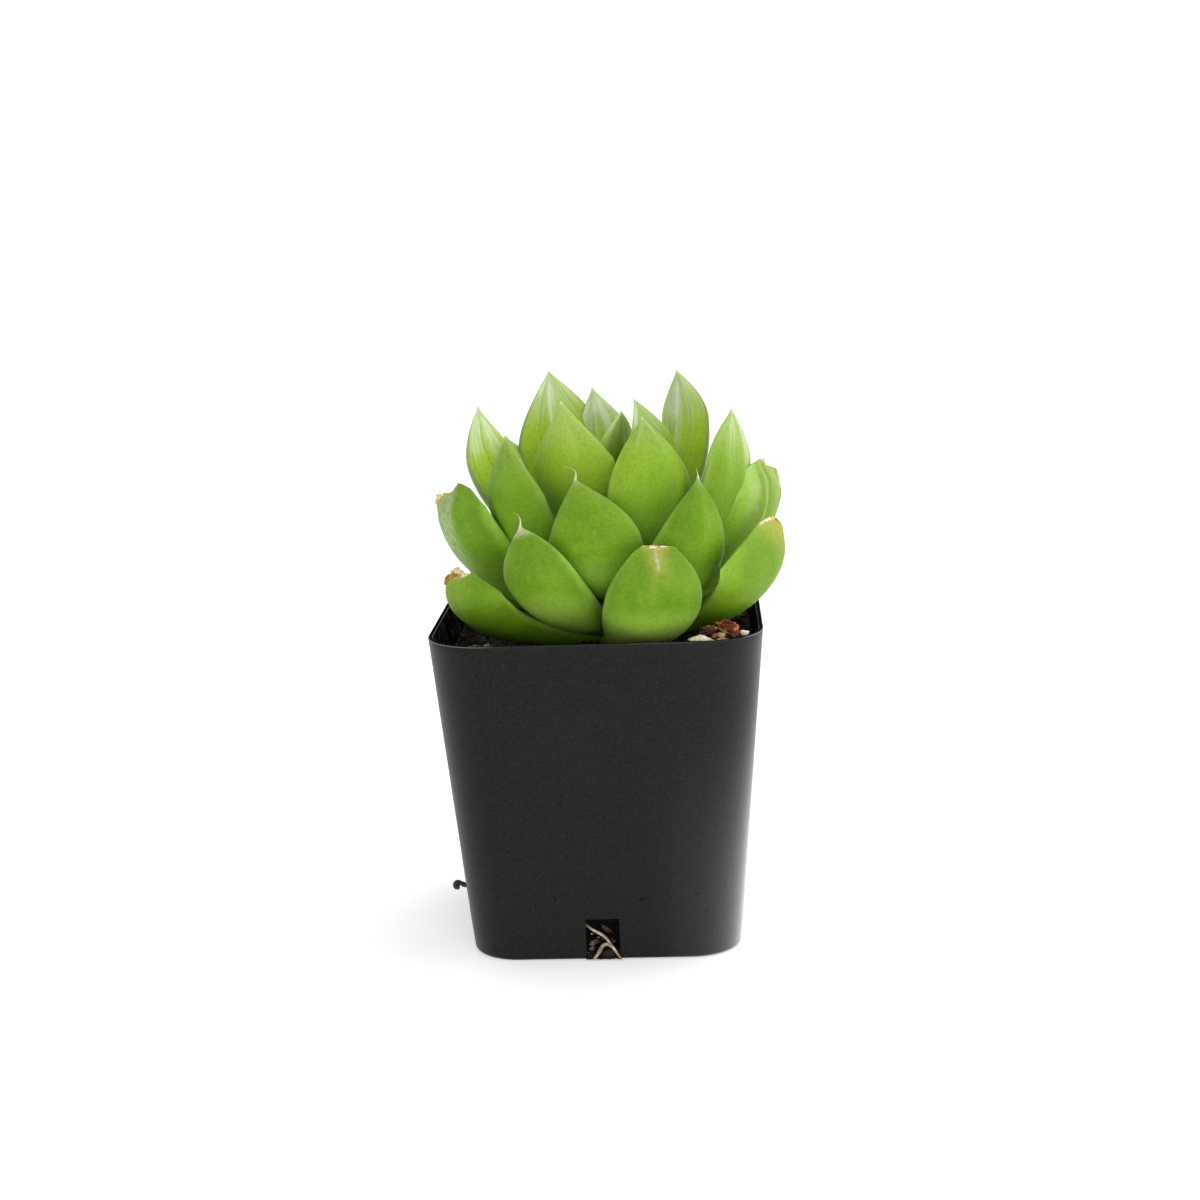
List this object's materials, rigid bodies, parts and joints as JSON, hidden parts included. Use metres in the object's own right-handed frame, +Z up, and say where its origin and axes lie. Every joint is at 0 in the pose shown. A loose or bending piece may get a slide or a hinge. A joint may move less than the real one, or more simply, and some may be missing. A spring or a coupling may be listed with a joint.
{
  "type": "potted haworthia",
  "caption": "Small rosette succulent with plump pointed leaves growing in a tapered square black nursery pot with a drainage notch in each side.",
  "frame": {"origin": "centre of the underside of the pot", "axes": "+Z up, -Y out of the side that faces the viewer, +X to the right"},
  "size_m": [0.0552, 0.0519, 0.0886],
  "materials": {
    "pot_plastic": "thin black moulded plastic, satin, lightly scuffed",
    "soil": "dark crumbly potting mix",
    "root": "pale tan dry root",
    "leaf": "smooth fleshy leaf, satin, translucent at the tip",
    "bark": "rough reddish-brown bark chip",
    "pumice": "pale cream porous grit"
  },
  "bodies": {
    "root": {"pot": "pot_plastic", "soil": "soil", "stem_and_roots": "root", "leaf_01": "leaf", "leaf_02": "leaf", "leaf_03": "leaf", "leaf_04": "leaf", "leaf_05": "leaf", "leaf_06": "leaf", "leaf_07": "leaf", "leaf_08": "leaf", "leaf_09": "leaf", "leaf_10": "leaf", "leaf_11": "leaf", "leaf_12": "leaf", "leaf_13": "leaf", "leaf_14": "leaf", "leaf_15": "leaf", "leaf_16": "leaf", "leaf_17": "leaf", "leaf_18": "leaf", "leaf_19": "leaf", "leaf_20": "leaf", "leaf_21": "leaf", "leaf_22": "leaf", "leaf_23": "leaf", "leaf_24": "leaf", "leaf_25": "leaf", "leaf_26": "leaf", "leaf_27": "leaf", "leaf_28": "leaf", "bark_01": "bark", "bark_02": "bark", "bark_03": "bark", "bark_04": "bark", "bark_05": "bark", "pumice_01": "pumice", "pumice_02": "pumice", "pumice_03": "pumice", "pumice_04": "pumice", "pumice_05": "pumice", "pumice_06": "pumice", "pumice_07": "pumice", "pumice_08": "pumice"}
  },
  "joints": []
}
